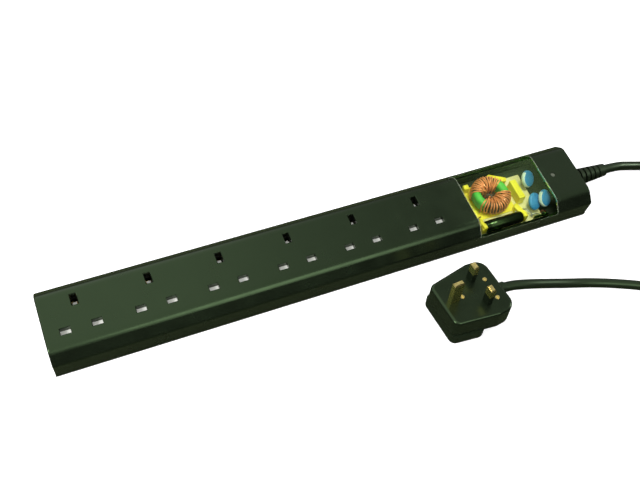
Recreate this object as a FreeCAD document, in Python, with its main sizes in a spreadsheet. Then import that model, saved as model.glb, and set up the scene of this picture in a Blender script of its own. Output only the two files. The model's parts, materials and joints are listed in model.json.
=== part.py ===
"""A six-way UK extension lead with a surge filter under a clear window, and its fused 13 A plug.

Millimetres. +X runs along the casing to the cable end, +Y to the earth slots' side, +Z up. The origin
is under the middle of the casing, on the surface that it lies on. The plug lies on its back beside the
casing, and its own pieces are drawn in the plug's frame: X from the live pin to the neutral pin, Y
towards the earth pin, Z out of the pin face.
"""

import FreeCAD, Part  # noqa: E401  FreeCAD has to load before Part
import math
import os
import re

import Sketcher

Vector = FreeCAD.Vector
doc = FreeCAD.newDocument("extension_lead")

# ---------------------------------------------------------------- driving dimensions

SIZES = {
    "casing": {
        "end_margin": 26.0,  # from the plain end to the first socket
        "filter_bay": 144.0,  # from the last socket to the cable end
        "casing_tall": 31.0,
        "shoulder_half": 30.3,
        "shoulder_drop": 9.3,
        "top_in": 8.3,  # from the shoulder in to the flat top's sharp corner
        "foot_in": 2.7,  # and to the foot
        "wall": 2.4,
        "roll_round": 8.0,
        "shoulder_round": 3.0,
        "rim_round": 1.4,
        "end_draft": 2.5,
        "seam_level": 4.2,
        "seam_gap": 0.2,
        "base_wall": 2.2,
        "base_round": 1.0,
    },
    "outlets": {
        "socket_count": 6,
        "socket_pitch": 53.2,
        "line_row": -10.4,
        "earth_rise": 22.2,
        "line_half_gap": 11.1,
        "line_slot_wide": 7.2,
        "line_slot_deep": 4.8,
        "earth_slot_wide": 4.8,
        "earth_slot_deep": 8.8,
        "slot_depth": 4.4,
        "slot_rim": 1.2,
        "lead_in": 0.4,
    },
    "shutters": {
        "shutter_thick": 2.6,
        "shutter_gap": 0.3,
        "shutter_travel": 5.2,
        "blade_wide": 10.4,
        "stem_wide": 3.0,
        "yoke_lap": 3.4,
        "spring_radius": 1.15,
        "spring_wire": 0.2,
        "spring_length": 9.2,
        "spring_turns": 8,
        "slide_gap": 0.2,
    },
    "contacts": {
        "frame_thick": 2.0,
        "frame_half": 23.5,
        "frame_margin": 20.0,  # how far the frame goes past the first socket
        "frame_past": 30.0,  # and past the last one
        "tray_level": 6.0,
        "tray_thick": 2.0,
        "leaf_thick": 0.8,
        "leaf_tall": 12.0,
        "bar_thick": 1.0,
        "bar_tall": 6.0,
        "bar_offset": 5.5,
        "earth_bar_offset": 7.6,
        "pin_passage": 0.3,
    },
    "window": {
        "window_from": 40.0,  # from the last socket to the window
        "window_long": 70.6,
        "sill_drop": 2.2,  # from the shoulder down to the window's sill
        "window_thick": 2.0,
        "window_gap": 0.15,
        "lug_long": 12.0,
        "lug_tall": 3.0,
        "lug_thick": 1.2,
    },
    "filter": {
        "board_before": 4.0,  # how far the board goes past the window at each end
        "board_past": 13.5,
        "board_half": 25.5,
        "board_level": 11.0,
        "board_thick": 1.6,
        "post_radius": 2.5,
        "post_inset": 4.0,
        "choke_in": 26.5,  # from the window's start
        "choke_y": 4.0,
        "core_outer": 15.4,
        "core_inner": 8.4,
        "core_tall": 10.0,
        "wire_thick": 1.3,
        "winding_angle": 136.0,
        "cradle_half": 17.8,
        "cradle_thick": 0.8,
        "tab_size": 4.5,
        "tab_tall": 7.0,
        "cap_in": 49.8,
        "cap_y": 1.6,
        "cap_wide": 5.6,
        "cap_long": 18.0,
        "cap_tall": 9.4,
        "arm_wide": 4.0,
        "arm_tall": 8.0,
        "drum_radius": 4.6,
        "drum_in": 10.0,
        "drum_long": 32.5,
        "drum_y": -21.0,
        "disc_radius": 7.0,
        "disc_thick": 4.0,
        "disc_lean": 24.0,  # towards the cable end
        "disc_pitch": 40.0,  # and towards the line slots' side
        "led_past": 8.4,  # from the window's end
        "led_radius": 1.7,
        "led_sink": 0.4,
    },
    "fasteners": {
        "boss_y": 2.0,
        "boss_radius": 3.6,
        "screw_radius": 1.5,
        "screw_head_radius": 2.9,
        "screw_head_tall": 1.8,
        "screw_long": 15.0,
        "head_sink": 3.2,
        "keyhole_gap": 300.0,
        "keyhole_radius": 4.2,
        "keyhole_slot": 2.3,
        "keyhole_run": 9.0,
    },
    "cable": {
        "cable_radius": 3.8,
        "gland_level": 14.5,
        "gland_long": 31.0,
        "gland_swell": 3.6,
        "gland_skin": 1.4,
        "neck_skin": 2.2,
        "gland_flange": 9.0,
        "flange_thick": 2.2,
        "gland_ribs": 5,
        "clamp_in": 13.5,  # from the cable end
        "clamp_half": 11.0,
        "core_wire_radius": 1.5,
        "coil_past": 97.5,  # from the cable end to the coil's middle
        "coil_y": -84.5,
        "coil_inner": 34.2,
        "coil_outer": 57.0,
        "coil_tall": 15.2,
    },
    "plug": {
        "plug_x": 86.9,
        "plug_y": -74.8,
        "plug_tilt": 5.6,
        "plug_turn": 95.0,
        "plug_top": 31.8,
        "plug_top_half": 19.0,
        "plug_side_half": 24.6,
        "plug_side_at": -3.5,
        "plug_foot_half": 23.4,
        "plug_foot": -18.4,
        "plug_foot_round": 9.5,
        "plug_top_round": 5.5,
        "plug_wall": 2.4,
        "body_deep": 15.0,
        "cover_deep": 2.8,
        "plug_seam": 0.3,
        "face_round": 2.2,
        "cover_round": 1.4,
        "grip_from": 4.0,
        "grip_out": 1.5,
        "grip_deep": 9.0,
        "grip_round": 3.2,
        "line_pin_wide": 6.35,
        "line_pin_thick": 4.0,
        "line_pin_long": 17.7,
        "sleeve_long": 9.0,
        "sleeve_thick": 0.55,
        "earth_pin_wide": 8.0,
        "earth_pin_thick": 4.0,
        "earth_pin_long": 22.7,
        "pin_root": 7.0,
        "tip_bevel": 1.1,
        "fuse_radius": 3.15,
        "fuse_long": 25.4,
        "guard_long": 6.0,
        "guard_skin": 0.6,
        "guard_swell": 1.2,
        "cord_exit_depth": 9.15,
        "cord_exit_x": -1.2,
    },
    "worked out from the others": {
        "flat_half": "=shoulder_half - top_in",
        "foot_half": "=shoulder_half - foot_in",
        "window_sill": "=casing_tall - shoulder_drop - sill_drop",
        "blade_deep": "=line_slot_deep + 1",
        "nose_cover": "=shutter_travel + 0.2",  # how much of the earth slot a shutter's nose closes
        "row_length": "=(socket_count - 1) * socket_pitch",
        "casing_length": "=end_margin + row_length + filter_bay",
        "first_socket": "=end_margin - casing_length / 2",
        "frame_start": "=first_socket - frame_margin",
        "frame_end": "=first_socket + row_length + frame_past",
        "window_start": "=first_socket + row_length + window_from",
        "window_end": "=window_start + window_long",
        "board_start": "=window_start - board_before",
        "board_end": "=window_end + board_past",
        "choke_x": "=window_start + choke_in",
        "cap_x": "=window_start + cap_in",
        "drum_start": "=window_start + drum_in",
        "drum_end": "=drum_start + drum_long",
        "led_x": "=window_end + led_past",
        "clamp_x": "=casing_length / 2 - clamp_in",
        "coil_x": "=casing_length / 2 + coil_past",
        "gland_root": "=cable_radius + gland_swell",
        "gland_tip": "=cable_radius + gland_skin",
        "gland_neck": "=cable_radius + neck_skin",
        "guard_tip": "=cable_radius + guard_skin",
        "guard_root": "=cable_radius + guard_swell",
    },
}

sheet = doc.addObject("Spreadsheet::Sheet", "Sizes")
row = 0
for group, values in SIZES.items():
    row += 1
    sheet.set(f"A{row}", group)
    for name, value in values.items():
        row += 1
        sheet.set(f"A{row}", name)
        sheet.set(f"B{row}", str(value))
        sheet.setAlias(f"B{row}", name)
doc.recompute()
NAMES = {name for values in SIZES.values() for name in values}
WORD = re.compile(r"[a-z_]+[a-z0-9_]*")


def size(name):
    """The sheet's value of one driving dimension."""
    return float(getattr(sheet, name))


def formula(text):
    """An expression written with plain size names, as FreeCAD reads it."""
    return WORD.sub(lambda m: f"Sizes.{m.group()}" if m.group() in NAMES else m.group(), str(text))


def worked_out(text):
    """The number that a formula gives now."""
    return float(sheet.evalExpression(formula(text)))


def bind(thing, **properties):
    """Ties properties of an object to formulas. A double underscore stands for a dot."""
    for name, text in properties.items():
        thing.setExpression(name.replace("__", "."), formula(text))
    return thing


# ---------------------------------------------------------------- primitives and booleans

PARTS = []


def part(thing, label):
    """Marks an object as one of the assembly's own pieces."""
    thing.Label = label
    PARTS.append(thing)
    return thing


def box(corner, lengths):
    """A box from its lowest corner and its three lengths."""
    solid = doc.addObject("Part::Box", "box")
    bind(solid, Length=lengths[0], Width=lengths[1], Height=lengths[2])
    return bind(solid, Placement__Base__x=corner[0], Placement__Base__y=corner[1],
                Placement__Base__z=corner[2])


def cylinder(start, radius, length, along="Z", angle=None):
    """A round bar that starts at a point and runs along one axis."""
    solid = doc.addObject("Part::Cylinder", "bar")
    turns = {"X": FreeCAD.Rotation(Vector(0, 1, 0), 90), "Y": FreeCAD.Rotation(Vector(1, 0, 0), -90)}
    if along in turns:
        solid.Placement = FreeCAD.Placement(Vector(), turns[along])
    bind(solid, Radius=radius, Height=length)
    if angle:
        bind(solid, Angle=angle)
    return bind(solid, Placement__Base__x=start[0], Placement__Base__y=start[1],
                Placement__Base__z=start[2])


def cone(start, radius, far_radius, length, along="X"):
    """A tapered round bar along X or Y."""
    solid = doc.addObject("Part::Cone", "taper")
    turn = FreeCAD.Rotation(Vector(0, 1, 0), 90) if along == "X" else FreeCAD.Rotation(Vector(1, 0, 0), 90)
    solid.Placement = FreeCAD.Placement(Vector(), turn)
    bind(solid, Radius1=radius, Radius2=far_radius, Height=length)
    return bind(solid, Placement__Base__x=start[0], Placement__Base__y=start[1],
                Placement__Base__z=start[2])


def fused(pieces):
    """Several solids as one object."""
    whole = doc.addObject("Part::MultiFuse", "joined")
    whole.Shapes = pieces
    return whole


def cut(base, tools):
    """A solid with tools taken out of it."""
    tool = tools[0] if len(tools) == 1 else fused(tools)
    result = doc.addObject("Part::Cut", "cut")
    result.Base = base
    result.Tool = tool
    return result


# ---------------------------------------------------------------- sketches and features


def new_body(name):
    """An empty PartDesign body."""
    return doc.addObject("PartDesign::Body", name)


def new_sketch(body, role, level):
    """A sketch on one of the body's own planes, lifted along its normal by a formula."""
    sketch = body.newObject("Sketcher::SketchObject", "outline")
    plane = [feature for feature in body.Origin.OriginFeatures if feature.Role == role][0]
    sketch.AttachmentSupport = (plane, [""])
    sketch.MapMode = "FlatFace"
    sketch.setExpression(".AttachmentOffset.Base.z", formula(level))
    return sketch


def fix_point(sketch, edge, end, u, v):
    """Holds one end of an edge at two formulas from the sketch's origin."""
    for kind, text in (("DistanceX", u), ("DistanceY", v)):
        number = sketch.addConstraint(Sketcher.Constraint(kind, -1, 1, edge, end, 1.0))
        sketch.setExpression(f"Constraints[{number}]", formula(text))


def draw_polygon(sketch, corners):
    """A closed outline with every corner tied to the sheet."""
    first = sketch.GeometryCount
    count = len(corners)
    points = [Vector(worked_out(u), worked_out(v), 0) for u, v in corners]
    for i in range(count):
        sketch.addGeometry(Part.LineSegment(points[i], points[(i + 1) % count]))
    for i in range(count):
        sketch.addConstraint(Sketcher.Constraint("Coincident", first + i, 2, first + (i + 1) % count, 1))
    for i, (u, v) in enumerate(corners):
        fix_point(sketch, first + i, 1, u, v)


def draw_rectangle(sketch, u, v, wide, deep):
    """A rectangle about a centre."""
    left, right = f"({u}) - ({wide}) / 2", f"({u}) + ({wide}) / 2"
    low, high = f"({v}) - ({deep}) / 2", f"({v}) + ({deep}) / 2"
    draw_polygon(sketch, [(left, low), (right, low), (right, high), (left, high)])


def draw_circle(sketch, u, v, radius):
    """A circle with its centre and radius tied to the sheet."""
    centre = Vector(worked_out(u), worked_out(v), 0)
    edge = sketch.addGeometry(Part.Circle(centre, Vector(0, 0, 1), worked_out(radius)))
    fix_point(sketch, edge, 3, u, v)
    number = sketch.addConstraint(Sketcher.Constraint("Radius", edge, worked_out(radius)))
    sketch.setExpression(f"Constraints[{number}]", formula(radius))


def feature(body, kind, sketch, length, backwards=False, midplane=False, taper=0.0):
    """A Pad or Pocket of a sketch, checked to have changed the body's volume."""
    doc.recompute()
    before = body.Shape.Volume if not body.Shape.isNull() else 0.0
    made = body.newObject(f"PartDesign::{kind}", kind.lower())
    made.Profile = sketch
    made.Reversed = backwards
    if midplane:
        made.Midplane = True
    if taper:
        made.TaperAngle = taper
    bind(made, Length=length)
    doc.recompute()
    change = body.Shape.Volume - before
    if change * (1 if kind == "Pad" else -1) <= 0:
        raise RuntimeError(f"{body.Name}: a {kind} changed the volume by {change:.3f}")
    return made


def repeated(body, originals, count, length):
    """Features repeated along +X."""
    pattern = body.newObject("PartDesign::LinearPattern", "row")
    pattern.Originals = originals
    axis = [thing for thing in body.Origin.OriginFeatures if thing.Role == "X_Axis"][0]
    pattern.Direction = (axis, [""])
    pattern.Mode = "Extent"
    bind(pattern, Length=length, Occurrences=count)
    body.Tip = pattern
    doc.recompute()
    return pattern


def rounded(body, chosen, radius):
    """Rounds the edges of the body's tip that a test picks."""
    doc.recompute()
    base = body.Tip
    names = [f"Edge{i + 1}" for i, edge in enumerate(base.Shape.Edges) if chosen(edge)]
    made = body.newObject("PartDesign::Fillet", "round")
    made.Base = (base, names)
    bind(made, Radius=radius)
    doc.recompute()
    if not names or "Invalid" in made.State:
        raise RuntimeError(f"{body.Name}: a round of {radius} on {len(names)} edges failed")
    return made


def spans(edge):
    """The edge's lowest and highest corner."""
    ends = edge.BoundBox
    return Vector(ends.XMin, ends.YMin, ends.ZMin), Vector(ends.XMax, ends.YMax, ends.ZMax)


def runs_along(edge, axis):
    """True for a straight edge parallel to one axis."""
    low, high = spans(edge)
    lengths = {"X": high.x - low.x, "Y": high.y - low.y, "Z": high.z - low.z}
    others = [value for name, value in lengths.items() if name != axis]
    return edge.Curve.TypeId == "Part::GeomLine" and lengths[axis] > 0.1 and max(others) < 1e-4


# ---------------------------------------------------------------- shared formulas

LEFT = "-casing_length / 2"
RIGHT = "casing_length / 2"
SHOULDER_LEVEL = "casing_tall - shoulder_drop"
SIDE_LEAN = f"(shoulder_half - foot_half) / ({SHOULDER_LEVEL})"
EARTH_ROW = "line_row + earth_rise"
SHUTTER_TOP = "casing_tall - slot_depth - shutter_gap"
SHUTTER_LEVEL = f"{SHUTTER_TOP} - shutter_thick"
FRAME_TOP = f"{SHUTTER_LEVEL} - slide_gap"
FRAME_LEVEL = f"{FRAME_TOP} - frame_thick"
TRAY_TOP = "tray_level + tray_thick"
BOARD_TOP = "board_level + board_thick"
CHOKE_LEVEL = f"{BOARD_TOP} + cradle_thick"
BLADE_FRONT = "line_row - line_slot_deep / 2 - 0.5"
BLADE_BACK = f"{BLADE_FRONT} + blade_deep"
NOSE_END = f"{EARTH_ROW} - earth_slot_deep / 2 + nose_cover"
YOKE_FRONT = f"{BLADE_BACK} - yoke_lap"
YOKE_BACK = "line_row + line_slot_deep / 2 + 0.3"
SPRING_STOP = f"{YOKE_FRONT} - spring_length"
SCREW_X = [f"first_socket + {place} * socket_pitch" for place in ("0.5", "2.5", "4.5")]
SCREW_X += ["board_start - 4.5", f"{RIGHT} - 8.5"]
SCREW_Y = ["boss_y"] * 4 + ["shoulder_half - wall - boss_radius - 5"]
MID_SCREWS = 4  # the screws that pass through the tray and frame


def side_at(level, inset="0"):
    """Half the casing's width at a height below the shoulder, less an inset."""
    return f"foot_half + {SIDE_LEAN} * ({level}) - ({inset})"


def socket_x(number):
    """The centre of one socket."""
    return f"first_socket + {number} * socket_pitch"


def casing_outline(bottom, inset="0"):
    """The casing's section above a level, as corners from the bottom left, anticlockwise."""
    side = side_at(bottom, inset)
    shoulder = f"shoulder_half - ({inset})"
    top = f"flat_half - ({inset}) * 0.4"
    shoulder_level = f"{SHOULDER_LEVEL} - ({inset}) * 0.4"
    high = f"casing_tall - ({inset})"
    right = [(side, bottom), (shoulder, shoulder_level), (top, high)]
    left = [(f"-({u})", v) for u, v in reversed(right)]
    return [left[2], *right, left[0], left[1]]


def long_edge_near(half, level):
    """A test for the casing's long edges at plus and minus a half width and a level."""

    def test(edge):
        low, _ = spans(edge)
        near = abs(abs(low.y) - worked_out(half)) < 0.2 and abs(low.z - worked_out(level)) < 0.2
        return near and runs_along(edge, "X")

    return test


# ---------------------------------------------------------------- the casing


def make_cover():
    """The long black upper moulding: a hollow section with slots, chutes, bosses and the window's cut."""
    body = new_body("cover")
    outer = new_sketch(body, "YZ_Plane", LEFT)
    draw_polygon(outer, casing_outline("seam_level + seam_gap"))
    feature(body, "Pad", outer, "casing_length")
    rounded(body, long_edge_near("flat_half", "casing_tall"), "roll_round")
    rounded(body, long_edge_near("shoulder_half", SHOULDER_LEVEL), "shoulder_round")

    draft = new_sketch(body, "XZ_Plane", "0")
    draw_polygon(draft, [(RIGHT, "seam_level"), (f"{RIGHT} + 5", "casing_tall + 5"),
                         (RIGHT, "casing_tall + 5"), (f"{RIGHT} - end_draft", "casing_tall")])
    feature(body, "Pocket", draft, "3 * casing_tall", midplane=True)

    def end_rim(edge):
        low, high = spans(edge)
        left = high.x < worked_out(LEFT) + 0.01
        right = low.x > worked_out(f"{RIGHT} - end_draft") - 0.01
        return (left or right) and high.z > worked_out("seam_level + seam_gap") + 0.1

    rounded(body, end_rim, "rim_round")

    inner = new_sketch(body, "YZ_Plane", f"{LEFT} + wall")
    draw_polygon(inner, casing_outline("seam_level - 1", "wall"))
    feature(body, "Pocket", inner, "casing_length - 2 * wall - end_draft", backwards=True)

    slots = [
        ("first_socket - line_half_gap", "line_row", "line_slot_wide", "line_slot_deep"),
        ("first_socket + line_half_gap", "line_row", "line_slot_wide", "line_slot_deep"),
        ("first_socket", EARTH_ROW, "earth_slot_wide", "earth_slot_deep"),
    ]
    chutes = new_sketch(body, "XY_Plane", "casing_tall - slot_depth")
    mouths = new_sketch(body, "XY_Plane", "casing_tall")
    holes = new_sketch(body, "XY_Plane", "casing_tall")
    for u, v, wide, deep in slots:
        draw_rectangle(chutes, u, v, f"{wide} + 2 * slot_rim", f"{deep} + 2 * slot_rim")
        draw_rectangle(holes, u, v, wide, deep)
        draw_rectangle(mouths, u, v, f"{wide} + 2 * lead_in", f"{deep} + 2 * lead_in")
    chute = feature(body, "Pad", chutes, "slot_depth - wall + 0.2")
    repeated(body, [chute], "socket_count", "row_length")
    hole = feature(body, "Pocket", holes, "slot_depth + 0.5")
    mouth = feature(body, "Pocket", mouths, "lead_in", taper=-45.0)
    repeated(body, [hole, mouth], "socket_count", "row_length")

    bosses = new_sketch(body, "XY_Plane", "seam_level + seam_gap")
    pilots = new_sketch(body, "XY_Plane", "seam_level + seam_gap")
    for u, v in zip(SCREW_X, SCREW_Y):
        draw_circle(bosses, u, v, "boss_radius")
        draw_circle(pilots, u, v, "screw_radius")
    feature(body, "Pad", bosses, "casing_tall - seam_level - seam_gap - wall + 0.2")
    feature(body, "Pocket", pilots, "screw_long", backwards=True)

    opening = new_sketch(body, "XY_Plane", "window_sill")
    draw_rectangle(opening, "(window_start + window_end) / 2", "0", "window_end - window_start",
                   "3 * shoulder_half")
    feature(body, "Pocket", opening, "casing_tall", backwards=True)

    lamp = new_sketch(body, "XY_Plane", "casing_tall")
    draw_circle(lamp, "led_x", "0", "led_radius + 0.1")
    feature(body, "Pocket", lamp, "2 * wall")

    outlet = cylinder((f"{RIGHT} - 3 * wall", "0", "gland_level"), "gland_neck", "6 * wall", along="X")
    below = box((f"{RIGHT} - 3 * wall", "-gland_neck", "0"), ("6 * wall", "2 * gland_neck", "gland_level"))
    return part(cut(body, [outlet, below]), "top_cover")


def make_base():
    """The shallow tray that closes the casing, with posts, screw wells and two keyholes."""
    body = new_body("base")
    outer = new_sketch(body, "YZ_Plane", LEFT)
    side = side_at("seam_level")
    draw_polygon(outer, [("-foot_half", "0"), ("foot_half", "0"), (side, "seam_level"),
                         (f"-({side})", "seam_level")])
    feature(body, "Pad", outer, "casing_length")
    rounded(body, long_edge_near("foot_half", "0"), "base_round")

    hollow = new_sketch(body, "XY_Plane", "seam_level")
    draw_rectangle(hollow, "0", "0", "casing_length - 2 * wall", "2 * (foot_half - wall)")
    feature(body, "Pocket", hollow, "seam_level - base_wall")

    posts = new_sketch(body, "XY_Plane", "base_wall")
    for u in ("board_start + post_inset", "board_end - post_inset"):
        for v in ("board_half - post_inset", "post_inset - board_half"):
            draw_circle(posts, u, v, "post_radius")
    feature(body, "Pad", posts, "board_level - base_wall")

    wells = new_sketch(body, "XY_Plane", "base_wall - 0.1")
    heads = new_sketch(body, "XY_Plane", "0")
    shanks = new_sketch(body, "XY_Plane", "0")
    for u, v in zip(SCREW_X, SCREW_Y):
        draw_circle(wells, u, v, "screw_head_radius + 1.4")
        draw_circle(heads, u, v, "screw_head_radius + 0.2")
        draw_circle(shanks, u, v, "screw_radius + 0.15")
    feature(body, "Pad", wells, "seam_level - base_wall + 0.1")
    feature(body, "Pocket", heads, "head_sink", backwards=True)
    feature(body, "Pocket", shanks, "2 * seam_level", backwards=True)

    keyholes = new_sketch(body, "XY_Plane", "0")
    for side_sign in ("-1", "1"):
        draw_circle(keyholes, f"{side_sign} * keyhole_gap / 2", "0", "keyhole_radius")
    feature(body, "Pocket", keyholes, "2 * base_wall", backwards=True)
    runs = new_sketch(body, "XY_Plane", "0")
    for side_sign in ("-1", "1"):
        draw_rectangle(runs, f"{side_sign} * keyhole_gap / 2 + keyhole_run / 2", "0", "keyhole_run",
                       "2 * keyhole_slot")
    feature(body, "Pocket", runs, "2 * base_wall", backwards=True)

    tongue = new_sketch(body, "XY_Plane", "seam_level")
    draw_rectangle(tongue, f"{RIGHT} - wall / 2 - 0.4 * end_draft", "0", "wall - 0.8",
                   "2 * gland_neck - 0.4")
    feature(body, "Pad", tongue, "gland_level - gland_neck - seam_level + 1.4")
    saddle = cylinder((f"{RIGHT} - 3 * wall", "0", "gland_level"), "gland_neck - 0.3", "6 * wall",
                      along="X")
    for v in ("-1", "1"):
        bar = new_sketch(body, "XY_Plane", "base_wall - 0.1")
        draw_rectangle(bar, "clamp_x", f"{v} * (clamp_half - 2.6)", "5", "5.2")
        feature(body, "Pad", bar, "gland_level - base_wall - 1.1")
    cradle = new_sketch(body, "XY_Plane", "base_wall - 0.1")
    draw_rectangle(cradle, "clamp_x", "0", "4", "8")
    feature(body, "Pad", cradle, "gland_level - cable_radius - base_wall + 0.1")
    pilot = [cylinder(("clamp_x", f"{v} * (clamp_half - 2.6)", "gland_level - 10"), "1.1", "12")
             for v in ("-1", "1")]
    return part(cut(body, [saddle, *pilot]), "base_shell")


def make_window():
    """The clear saddle over the filter, with lugs that hook behind the cover's sides."""
    body = new_body("pane")
    outer = new_sketch(body, "YZ_Plane", "window_start + window_gap")
    draw_polygon(outer, casing_outline("window_sill + window_gap"))
    feature(body, "Pad", outer, "window_end - window_start - 2 * window_gap")
    rounded(body, long_edge_near("flat_half", "casing_tall"), "roll_round")
    rounded(body, long_edge_near("shoulder_half", SHOULDER_LEVEL), "shoulder_round")
    inner = new_sketch(body, "YZ_Plane", "window_start - 1")
    draw_polygon(inner, casing_outline("window_sill - 1", "window_thick"))
    feature(body, "Pocket", inner, "window_end - window_start + 2", backwards=True)
    pieces = [body]
    outside = side_at("window_sill - lug_tall", "wall + 0.1")
    reach = "lug_thick + 1.6"
    for sign in (1, -1):
        for u in ("window_start + 8", "window_end - 8 - lug_long"):
            v = f"{outside} - lug_thick" if sign > 0 else f"-({outside})"
            pieces.append(box((u, v, "window_sill - lug_tall"), ("lug_long", "lug_thick", "lug_tall + 1")))
            v = f"{outside} - lug_thick" if sign > 0 else f"-({outside}) + lug_thick - ({reach})"
            pieces.append(box((u, v, "window_sill + window_gap"), ("lug_long", reach, "1.2")))
    return part(fused(pieces), "window")


def make_screws(label, places, level, shank, length, head, head_tall):
    """Pan-head screws driven upwards, as one group of equal solids with a drive slot."""
    solids = []
    for u, v in places:
        rod = cylinder((u, v, level), shank, length)
        cap = cylinder((u, v, level), head, head_tall)
        slot = box((f"{u} - 2", f"{v} - 0.35", f"{level} - 0.5"), ("4", "0.7", "1.2"))
        solids.append(cut(fused([rod, cap]), [slot]))
    group = doc.addObject("Part::Compound", "group")
    group.Links = solids
    return part(group, label)


# ---------------------------------------------------------------- shutters and contacts


def make_socket_frame():
    """The moulding under the shutters: a plate with pin passages, stem guides, spring fences and skirts."""
    length = "frame_end - frame_start"
    level = FRAME_LEVEL
    plate = box(("frame_start", "-frame_half", level), (length, "2 * frame_half", "frame_thick"))
    added = [plate]
    skirt_tall = f"{level} - ({TRAY_TOP}) + 0.1"
    for v in ("-frame_half", "frame_half - 1.2"):
        added.append(box(("frame_start", v, TRAY_TOP), (length, "1.2", skirt_tall)))
    removed = []
    for number in range(int(size("socket_count"))):
        x = socket_x(number)
        fence_tall = "shutter_thick + slide_gap"
        added.append(box((f"{x} - 3", f"{SPRING_STOP} - 1", FRAME_TOP), ("6", "1", fence_tall)))
        for u in (f"{x} - stem_wide / 2 - slide_gap - 1", f"{x} + stem_wide / 2 + slide_gap"):
            added.append(box((u, f"{YOKE_BACK} + 1", FRAME_TOP), ("1", "8", "shutter_thick - 0.4")))
        for u in (f"{x} - line_half_gap", f"{x} + line_half_gap"):
            removed.append(
                box((f"{u} - line_slot_wide / 2 - pin_passage", "line_row - line_slot_deep / 2 - pin_passage",
                     f"{level} - 1"),
                    ("line_slot_wide + 2 * pin_passage", "line_slot_deep + 2 * pin_passage",
                     "frame_thick + 2")))
        removed.append(
            box((f"{x} - earth_slot_wide / 2 - pin_passage",
                 f"{EARTH_ROW} - earth_slot_deep / 2 - pin_passage",
                 f"{level} - 1"),
                ("earth_slot_wide + 2 * pin_passage", "earth_slot_deep + 2 * pin_passage",
                 "frame_thick + 2")))
    for u, v in list(zip(SCREW_X, SCREW_Y))[:MID_SCREWS]:
        removed.append(cylinder((u, v, f"{level} - 1"), "boss_radius + 0.3", "frame_thick + 2"))
    return part(cut(fused(added), removed), "socket_frame")


def make_contact_tray():
    """The lower moulding that the brass contacts stand on."""
    length = "frame_end - frame_start"
    plate = box(("frame_start", "-frame_half", "tray_level"), (length, "2 * frame_half", "tray_thick"))
    legs = [box(("frame_start", v, "base_wall"), (length, "1.6", "tray_level - base_wall + 0.1"))
            for v in ("-frame_half", "frame_half - 1.6", "-0.8 - 7", "9")]
    holes = [cylinder((u, v, "0"), "boss_radius + 1", "casing_tall") for u, v in zip(SCREW_X, SCREW_Y)]
    return part(cut(fused([plate, *legs]), holes[:MID_SCREWS]), "contact_tray")


def make_shutter(number):
    """One socket's white shutter: two blades under the line slots, and a nose that the earth pin pushes."""
    x = socket_x(number)
    low = SHUTTER_LEVEL
    pieces = [box((f"{x} + {sign} * line_half_gap - blade_wide / 2", BLADE_FRONT, low),
                  ("blade_wide", "blade_deep", "shutter_thick")) for sign in ("-1", "1")]
    yoke_half = "line_half_gap - line_slot_wide / 2 - 0.4"
    pieces.append(box((f"{x} - ({yoke_half})", YOKE_FRONT, low),
                      (f"2 * ({yoke_half})", f"{YOKE_BACK} - ({YOKE_FRONT})", "shutter_thick")))
    stem_long = f"{NOSE_END} - ({YOKE_BACK}) + 0.2"
    pieces.append(box((f"{x} - stem_wide / 2", f"{YOKE_BACK} - 0.2", low),
                      ("stem_wide", stem_long, "shutter_thick")))
    ramp = doc.addObject("Part::Wedge", "ramp")
    bind(ramp, Xmin="0", Xmax="stem_wide + 2", X2min="0", X2max="stem_wide + 2", Ymin="0",
         Ymax="shutter_thick", Zmin="0", Zmax="0.1", Z2min="0", Z2max="nose_cover - 0.4")
    ramp.Placement = FreeCAD.Placement(Vector(), FreeCAD.Rotation(Vector(1, 0, 0), 90))
    bind(ramp, Placement__Base__x=f"{x} - stem_wide / 2 - 1", Placement__Base__y=f"{NOSE_END}",
         Placement__Base__z=f"{low} + 0.4")
    return part(cut(fused(pieces), [ramp]), f"shutter_{number + 1}")


def make_spring(number):
    """The small return spring in front of a shutter's yoke."""
    helix = doc.addObject("Part::Helix", "turns")
    bind(helix, Radius="spring_radius", Height="spring_length - 2 * spring_wire",
         Pitch="(spring_length - 2 * spring_wire) / spring_turns")
    wire = doc.addObject("Part::Circle", "wire")
    wire.Placement = FreeCAD.Placement(Vector(), FreeCAD.Rotation(Vector(1, 0, 0), 90))
    bind(wire, Radius="spring_wire", Placement__Base__x="spring_radius")
    coil = doc.addObject("Part::Sweep", "coil")
    coil.Sections = [wire]
    coil.Spine = (helix, [])
    coil.Solid = True
    coil.Frenet = True
    coil.Placement = FreeCAD.Placement(Vector(), FreeCAD.Rotation(Vector(1, 0, 0), -90))
    bind(coil, Placement__Base__x=socket_x(number), Placement__Base__y=f"{SPRING_STOP} + spring_wire",
         Placement__Base__z=f"{SHUTTER_LEVEL} + shutter_thick / 2")
    return part(coil, f"shutter_spring_{number + 1}")


def make_line_bar(label, side, bar_side, end):
    """A brass busbar with one forked contact per socket, along the line pins' row."""
    half_gap = "line_pin_thick / 2 - 0.1"
    foot = "1"
    bar_y = f"line_row + {bar_side} * bar_offset"
    low = TRAY_TOP
    start = f"first_socket + {side} * line_half_gap - line_pin_wide / 2"
    pieces = [box((start, f"{bar_y} - bar_thick / 2", low),
                  (f"{end} - ({start})", "bar_thick", "bar_tall"))]
    for number in range(int(size("socket_count"))):
        x = f"{socket_x(number)} + {side} * line_half_gap - line_pin_wide / 2"
        for v in (f"line_row - ({half_gap}) - leaf_thick", f"line_row + {half_gap}"):
            pieces.append(box((x, v, low), ("line_pin_wide", "leaf_thick", "leaf_tall")))
        near = f"line_row - ({half_gap}) - leaf_thick" if bar_side > 0 else f"{bar_y} - bar_thick / 2"
        deep = f"bar_offset + {half_gap} + leaf_thick + bar_thick / 2"
        pieces.append(box((x, near, low), ("line_pin_wide", deep, foot)))
    return part(fused(pieces), label)


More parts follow.
